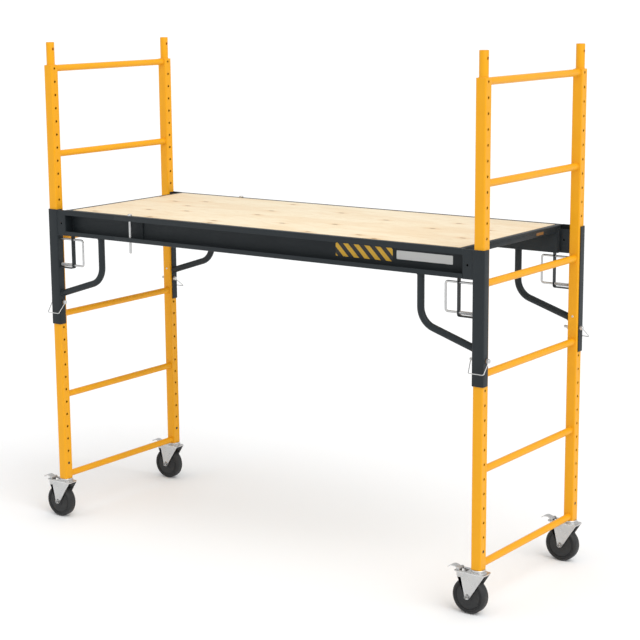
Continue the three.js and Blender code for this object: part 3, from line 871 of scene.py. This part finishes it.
def brace():
    """The bent tube from under the rail to the collar, where its end is trimmed flush."""
    out, r, foot_height, knee = (BRACE[key] for key in ("out", "radius", "foot", "knee"))
    slope = (knee - foot_height) / (out - COLLAR_FACE)
    past = 10
    end = (-COLLAR_FACE + past, 0, foot_height - slope * past)
    path = bent([(-out, 0, RAIL_BOTTOM - GAP), (-out, 0, knee), end], BRACE["bend"], 16)
    collar = block((-COLLAR_FACE - GAP, POST), (-POST, POST), (foot_height - 60, foot_height + 60))
    tube = cut(sweep(path, r, 32), collar)
    beads = [
        ring_weld("x", (-COLLAR_FACE - 1.6, 0, foot_height + 0.6), r + 0.4, 1.7),
        ring_weld("z", (-out, 0, RAIL_BOTTOM - 2.0), r + 0.3, 1.6),
    ]
    return gather(tube, *beads)


def brackets():
    solids = {"left": corner_bracket(True), "right": corner_bracket(False)}
    brace_solid = brace()
    for side, end in CORNERS:
        corner = f"{side}_{end}"
        mirror = (END_SIGN[end], SIDE_SIGN[side])
        at = foot(side, end)
        node = f"corner_bracket_{corner}"
        piece(solids[end], f"folded_{node}", "frame", BLACK, node, at, mirror)
        node = f"brace_{corner}"
        piece(brace_solid, f"welded_{node}", "frame", BLACK, node, at, mirror)


# ---- Platform ----
def side_rail():
    face = HALF_WIDTH + RAIL_FACE
    rail = prism("x", rail_outline(face), (-SPLICE["lip"], BEAM_FACE))
    at_hole = (-SPLICE["pin"], HALF_WIDTH + SPLICE["pin_out"], 0)
    hole = rod("z", SPLICE["hole"], (RAIL_BOTTOM - 1, DECK_TOP + 1), at_hole)
    return soften(cut(rail, hole), 0.5, 2)


def end_beam():
    """The beam across the deck's end, with the flat strip on its outer face."""
    face = BEAM_FACE
    rim = face - BEAM_RIM
    t = SHEET
    web_face = HALF_WIDTH + RAIL_FACE - RAIL_DEPTH - t - GAP
    rim_face = HALF_WIDTH + RAIL_FACE - RIM - GAP
    low = DECK_TOP - 25
    corners = [
        (face, low, 0.8), (face, DECK_TOP, 3.6), (rim, DECK_TOP, 3.6), (rim, LEDGE, 1.0),
        (rim - 22, LEDGE, 0.8), (rim - 22, LEDGE - t, 0.8), (rim + t, LEDGE - t, 3.0),
        (rim + t, DECK_TOP - t, 1.0), (face - t, DECK_TOP - t, 1.0), (face - t, low, 0.8),
    ]
    beam = prism("y", rounded_each(corners, 4), (-rim_face, rim_face))
    length, width = 446, 13
    bar = rectangle((-web_face, -web_face + length), (low + 1, low + 1 + width))
    strip = prism("x", rounded(bar, [0, 6.45, 6.45, 0], 8), (face - 1, face + 3))
    beam = fuse(beam, soften(strip, 1.4, 3))
    # From the ledge down the beam stops short of the rails' webs.
    under = (DECK_TOP - 50, LEDGE + GAP)
    for outside in ((web_face, 500), (-500, -web_face)):
        beam = cut(beam, block((0, 2000), outside, under))
    return soften(beam, 0.5, 2)


def platform():
    rail_solid = side_rail()
    beam_solid = end_beam()
    shift = (SHIFT_X, 0, 0)
    for side, sign in SIDE_SIGN.items():
        node = f"side_rail_{side}"
        piece(rail_solid, f"folded_{node}", "frame", BLACK, node, shift, (1, sign))
    for end, sign in END_SIGN.items():
        node = f"end_beam_{end}"
        piece(beam_solid, f"folded_{node}", "frame", BLACK, node, shift, (sign, 1))


def deck():
    """The plywood panel about its own middle, and the square tube that bears it."""
    low, high = box_in_mm("deck_panel")
    board = soften(block((low.x, high.x), (low.y, high.y), (low.z, high.z)), 1.0, 2)
    centre = (low + high) / 2
    board.data.transform(Matrix.Translation(-centre))
    piece(board, "plywood_deck", "deck", PLY, "deck_panel", centre)
    low, high = box_in_mm("deck_bearer")
    wall = 1.5
    tube = rectangle((low.x, high.x), (low.z, high.z))
    hollow = rectangle((low.x + wall, high.x - wall), (low.z + wall, high.z - wall))
    bearer = cut(
        prism("y", rounded(tube, 3.0, 4), (low.y, high.y)),
        prism("y", rounded(hollow, wall, 3), (low.y - 1, high.y + 1)),
    )
    piece(bearer, "square_deck_bearer", "frame", BLACK, "deck_bearer")


def prints():
    """Plain printed patches on the front rail's web and on the right end beam."""
    clear, proud = 0.02, 0.25
    shift = (SHIFT_X, 0, 0)
    web = -(HALF_WIDTH + RAIL_FACE - RAIL_DEPTH) - clear
    for name, across, heights, material in (
        ("striped_patch", (360, 598), (1182, 1228), BAR_PRINT),
        ("pale_patch", (614, 838), (1192, 1222), PALE_PRINT),
    ):
        patch = prism("y", rounded(rectangle(across, heights), 3, 3), (web - proud, web))
        piece(patch, name, "frame", material, at=shift)
    corners = rectangle((152, 204), (DECK_TOP - 20, DECK_TOP - 10))
    patch = prism("x", rounded(corners, 2, 3), (BEAM_FACE + clear, BEAM_FACE + proud))
    piece(patch, "warm_patch", "frame", WARM_PRINT, at=shift)


# ---- Latches and pins ----
def latch_loop():
    """The bent rod with its two legs in post holes, their ends tapered, and the spring's washer."""
    low, high, out, r = (LATCH[key] for key in ("low", "high", "out", "radius"))
    path = bent([(-4, 0, low), (-out, 0, low), (-out, 0, high), (-4, 0, high)], 9, 8)
    taper = Vector((-1.2, 0, 0))
    path = [path[0], path[0] + taper, *path[1:-1], path[-1] + taper, path[-1]]
    tip = r - 1.0
    radii = [tip, *[r] * (len(path) - 2), tip]
    washer = rod("x", 6.6, (-24.8, -23.6), (0, 0, low), 28, 0.3)
    return gather(sweep(path, radii, 20), washer)


def latch_spring():
    start, end, turns, radius = (SPRING[key] for key in ("start", "end", "turns", "radius"))
    count = turns * 14
    path = []
    for k in range(count + 1):
        share = k / count
        angle = 2 * math.pi * turns * share
        y, z = radius * math.cos(angle), radius * math.sin(angle)
        path.append((-start + (start - end) * share, y, LATCH["low"] + z))
    return sweep(path, SPRING["wire"], 8)


def lock_pin():
    """About the pin's own axis. The wire bail hangs on the outer side."""
    end = COLLAR_FACE + 1
    shank = [(0, -41), (3.2, -41), (4.4, -39.4), (4.4, end + 1), (0, end + 1)]
    head = [
        (0, end), (7.2, end), (8.0, end + 0.8), (8.0, end + 3.4), (6.2, end + 4.2),
        (6.2, end + 5.4), (7.6, end + 6.2), (7.6, 33.2), (6.8, 34), (0, 34),
    ]
    bail = bent([(31, 0, 0), (37.5, 45.5, -38), (-21, 45.5, -38), (-38, 0, 0)], 5, 6)
    eye = ring_weld("y", (-38, 0, 0), 4.2, 1.5)
    return gather(lathe("x", shank, sides=28), lathe("x", head, sides=32), sweep(bail, 1.6, 12), eye)


def joint_pin():
    """The headed pin that holds the two parts of a side rail together."""
    at = (-SPLICE["pin"], HALF_WIDTH + SPLICE["pin_out"], 0)
    seat = DECK_TOP + GAP
    profile = [
        (0, 1113.5), (3.4, 1113.5), (5, 1115.5), (5, seat), (8.4, seat), (9, seat + 0.7),
        (9, seat + 4.4), (7.8, seat + 6), (0, seat + 6),
    ]
    return lathe("z", profile, at, 36)


def latches():
    loop, spring, pin, joint = latch_loop(), latch_spring(), lock_pin(), joint_pin()
    for side, end in CORNERS:
        corner = f"{side}_{end}"
        mirror = (END_SIGN[end], SIDE_SIGN[side])
        at = foot(side, end)
        node = f"latch_loop_{corner}"
        piece(loop, f"bent_{node}", f"latch_{corner}", ZINC, node, at, mirror)
        coil = piece(spring, f"latch_spring_{corner}", "frame", ZINC, at=at, mirror=mirror)
        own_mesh(coil)
        node = f"lock_pin_{corner}"
        at_pin = at + Vector((0, 0, LOCK_HEIGHT))
        piece(pin, f"bailed_{node}", node, ZINC, node, at_pin, (1, mirror[1]))
    for side, sign in SIDE_SIGN.items():
        node = f"rail_joint_pin_{side}"
        piece(joint, f"turned_{node}", f"joint_pin_{side}", ZINC, node, (SHIFT_X, 0, 0), (1, sign))


# ---- Casters ----
def caster_stem():
    """The stem in the post's foot, the upper race, and the flange under the fork's plate."""
    under = FORK_TOP - FORK_SHEET - GAP
    profile = [
        (0, under - 4), (12.8, under - 4), (14, under - 3), (14, under),
        (NECK_RADIUS, under), (NECK_RADIUS, RACE_TOP + GAP), (24.2, RACE_TOP + GAP),
        (25, RACE_TOP + 1.4), (25, POST_BOTTOM - 1.6),
        (24.0, POST_BOTTOM - GAP), (15.2, POST_BOTTOM - GAP), (15.2, 260), (13.6, 262), (0, 262),
    ]
    stem = lathe("z", profile, sides=48)
    return cut(stem, rod("x", HOLE["lowest"], (-POST, POST), (0, 0, FIRST_HOLE), 24))


def caster_fork():
    """The top plate with the pedal's window, the lower race, two legs and the pedal's lugs."""
    trail, r = WHEEL["trail"], WHEEL["radius"]
    wide = FORK["half"]
    sheet = FORK_SHEET
    plan = [(38, wide), (-84, wide), (-84, -wide), (38, -wide)]
    plate = prism("z", rounded(plan, 12, 8), (FORK_TOP - sheet, FORK_TOP))
    half = PEDAL["half"] + GAP
    window = block((-79, -38), (-half, half), (FORK_TOP - 6, FORK_TOP + 3))
    rings = [
        (0, -1), (29, -1), (29, 2.0), (28, 2.8), (26.6, 2.8), (26.0, 3.4), (28.2, 3.9), (28.2, 5.2),
    ]
    race = [(radius, FORK_TOP + rise) for radius, rise in rings]
    races = lathe("z", [*race, (27, RACE_TOP), (0, RACE_TOP)], sides=56)
    outer, inner, top = FORK["outer"], FORK["inner"], FORK_TOP - 0.5
    below = 20
    bow = [
        (-outer, below, 0), (-outer, top, 5), (outer, top, 5), (outer, below, 0),
        (inner, below, 0), (inner, top - 3, 2.2), (-inner, top - 3, 2.2), (-inner, below, 0),
    ]
    channel = prism("x", rounded_each(bow, 6), (-90, 50))
    arc = []
    for degrees in range(175, 329, 17):
        angle = math.radians(degrees)
        place = (trail + FORK["foot"] * math.cos(angle), r + FORK["foot"] * math.sin(angle))
        arc.append(place)
    back_edge = rounded([(-72, top + 2), (-72, top - 20), (-48.5, top - 22.5)], [0, 6, 5], 5)
    side = [*back_edge, *arc, (34, top - 4), (34, top + 2)]
    legs = boolean(channel, prism("y", side, (-40, 40)), "INTERSECT")
    pivot, foot_z, top_z = -PEDAL["back"], FORK_TOP - 1, PEDAL["height"] + 6
    lug = [
        (pivot - 7, foot_z, 0), (pivot - 6.5, top_z, 5.5),
        (pivot + 6.5, top_z, 5.5), (pivot + 7, foot_z, 0),
    ]
    lugs = [prism("y", rounded_each(lug, 6), (s * half, s * (half + sheet))) for s in (-1, 1)]
    body = cut(fuse(plate, legs), window)
    body = fuse(body, races, *lugs)
    bores = [
        rod("z", NECK_RADIUS + 0.6, (FORK_TOP - 20, RACE_TOP + 1), sides=40),
        rod("y", AXLE_RADIUS + GAP, (-POST, POST), (trail, 0, r), 28),
        rod("y", PEDAL_PIN + GAP, (-POST, POST), (pivot, 0, PEDAL["height"]), 20),
    ]
    return soften(cut(body, *bores), 0.45, 2)


def caster_wheel():
    """Turned from its section, out from the bore: hub, dished web, grooves and tyre."""
    half, r = WHEEL["half"], WHEEL["radius"]
    hub = WHEEL["hub"]
    sunk = [
        (18, 1.8), (21, 3), (34, 3.4), (45, 2.9), (46, 4.2), (48, 4.2), (49, 1.2), (50.4, 0.3),
        (51.6, 0.4), (52.2, 1.8), (53.2, 1.8), (54, 0), (57.5, 0.4), (60.4, 2.2), (62.4, 5.0),
        (63.4, 9.0),
    ]
    side = [(6.8, hub), (16.6, hub), (17.4, hub - 0.8), *[(a, half - depth) for a, depth in sunk]]
    other = [(a, -b) for a, b in reversed(side)]
    return lathe("y", [*side, (r, 0), *other], (WHEEL["trail"], 0, r), 72)


def axle_bolt():
    """The axle's shank, with the hex head on one side and the nut on the other."""
    out = FORK["outer"] + GAP
    top = out + 6
    at = (WHEEL["trail"], 0, WHEEL["radius"])
    shank = rod("y", AXLE_RADIUS, (-out - 8, top), at, 28, 0.6)
    crown = [(0, out), (8.9, out), (8.9, out + 4.6), (7.2, top), (0, top)]
    hexes = []
    for s in (-1, 1):
        hexagon = rod("y", 9.1, sorted((s * out, s * top)), at, 6)
        turned = lathe("y", [(radius, s * place) for radius, place in crown], at, 36)
        hexes.append(boolean(hexagon, turned, "INTERSECT"))
    return gather(shank, *hexes)


def brake_pedal():
    """The pressed pad on its barrel and pivot pin, and the tooth that bears on the tyre."""
    back, height, half, sheet = (PEDAL[key] for key in ("back", "height", "half", "sheet"))
    rise = [(0, 0), (-5, 3), (-11, 5.7), (-20, 8), (-29, 7.4), (-38, 3.5), (-45, -2)]
    strip = thickened(spline(rise, 4), sheet)
    pad = prism("y", [(a - back, b + height) for a, b in strip], (-half, half))
    tip = -back - PEDAL["reach"] - 0.5
    plan = [(-back + 1, -half, 0), (-back + 1, half, 0), (tip, half, 9), (tip, -half, 9)]
    shape = prism("z", rounded_each(plan, 6), (height - 30, height + 30))
    pad = boolean(pad, shape, "INTERSECT")
    tooth_half = half - 2
    tooth = block((-back - 1.5, -back + 1.5), (-tooth_half, tooth_half), (PEDAL["tooth"], height))
    at = (-back, 0, height)
    barrel = rod("y", 4, (-half, half), at, 24)
    pin = rod("y", PEDAL_PIN, (-half - 3.2, half + 3.2), at, 20, 0.4)
    return soften(fuse(pad, tooth, barrel, pin), 0.5, 2)


def casters():
    kinds = (
        (caster_stem(), "turned", "caster_stem", "frame", ZINC),
        (caster_fork(), "pressed", "caster_fork", "swivel", ZINC),
        (axle_bolt(), "hex", "caster_axle", "swivel", SHADE_DARKENED_ZINC),
        (caster_wheel(), "grooved", "caster_wheel", "wheel", RUBBER),
        (brake_pedal(), "pressed", "brake_pedal", "pedal", ZINC),
    )
    for side, end in CORNERS:
        corner = f"{side}_{end}"
        for solid, look, kind, carrier, material in kinds:
            node = f"{kind}_{corner}"
            body = carrier if carrier == "frame" else f"{carrier}_{corner}"
            piece(solid, f"{look}_{node}", body, material, node, foot(side, end))


# ---- Studio: places in metres, angles in degrees, lens and sensor in millimetres ----
FLOOR_REACH = 400.0
FLOOR_DROP = 0.0005
SKY_LIT, SKY_SEEN = 0.74, 1.05
SUNS = {
    "key": {"toward": (0.64, -0.22, 0.74), "strength": 1.55, "spread": 50},
    "fill": {"toward": (-0.50, -0.62, 0.60), "strength": 0.22, "spread": 90},
}
LENS, SENSOR = 95.46, 36
VIEW = {"yaw": 35.94, "pitch": 11.145, "roll": -0.429}
EYE = (3.7529, -5.0831, 2.107)


def add_to_scene(name, data):
    made = bpy.data.objects.new(name, data)
    bpy.context.scene.collection.objects.link(made)
    return made


def pale_floor():
    ends = (-FLOOR_REACH, FLOOR_REACH)
    mesh = bpy.data.meshes.new("studio_floor")
    mesh.from_pydata([(a, b, 0) for a, b in rectangle(ends, ends)], [], [(0, 1, 2, 3)])
    floor = add_to_scene("studio_floor", mesh)
    floor.location.z = -FLOOR_DROP
    p = Paint("pale_floor")
    shade = p.mix(p.noise(0.6, 2), (0.95, 0.955, 0.96), (0.97, 0.975, 0.98))
    mesh.materials.append(p.finish(shade, 0.9, p.bump(p.noise(60, 2), 0.02, 0.001)))


def sky():
    """Lights the object softly, and shows as white as the floor does."""
    world = bpy.data.worlds.new("studio")
    bpy.context.scene.world = world
    world.use_nodes = True
    tree = world.node_tree
    background = tree.nodes["Background"]
    background.inputs["Color"].default_value = (1, 1, 1, 1)
    path = tree.nodes.new("ShaderNodeLightPath")
    strength = tree.nodes.new("ShaderNodeMath")
    strength.operation = "MULTIPLY_ADD"
    strength.inputs[1].default_value = SKY_SEEN - SKY_LIT
    strength.inputs[2].default_value = SKY_LIT
    tree.links.new(path.outputs["Is Camera Ray"], strength.inputs[0])
    tree.links.new(strength.outputs["Value"], background.inputs["Strength"])


def suns():
    for name, sun in SUNS.items():
        light = bpy.data.lights.new(name, "SUN")
        light.energy = sun["strength"]
        light.angle = math.radians(sun["spread"])
        made = add_to_scene(name, light)
        made.rotation_euler = Vector(sun["toward"]).to_track_quat("Z", "Y").to_euler()


def camera():
    """Stands at EYE, counted from the floor under the middle of the frames' span."""
    yaw, pitch, roll = (math.radians(VIEW[key]) for key in ("yaw", "pitch", "roll"))
    level = Vector((math.cos(yaw), math.sin(yaw), 0))
    ahead = Vector((-math.sin(yaw), math.cos(yaw), 0))
    forward = ahead * math.cos(pitch) - Vector((0, 0, math.sin(pitch)))
    upright = level.cross(forward)
    right = level * math.cos(roll) + upright * math.sin(roll)
    up = upright * math.cos(roll) - level * math.sin(roll)
    lens = bpy.data.cameras.new("camera")
    lens.lens = LENS
    lens.sensor_width = SENSOR
    made = add_to_scene("camera", lens)
    turn = Matrix((right, up, -forward)).transposed().to_4x4()
    made.matrix_world = Matrix.Translation(Vector((SHIFT_X * MM, 0, 0)) + Vector(EYE)) @ turn
    bpy.context.scene.camera = made


def clear_scratch():
    """Removes the scratch solids that the pieces were copied from."""
    for made in list(bpy.data.objects):
        if made.name.startswith("raw"):
            bpy.data.objects.remove(made)


end_frames()
brackets()
platform()
deck()
prints()
latches()
casters()
clear_scratch()
pale_floor()
sky()
suns()
camera()
bpy.context.scene.view_settings.view_transform = "Standard"
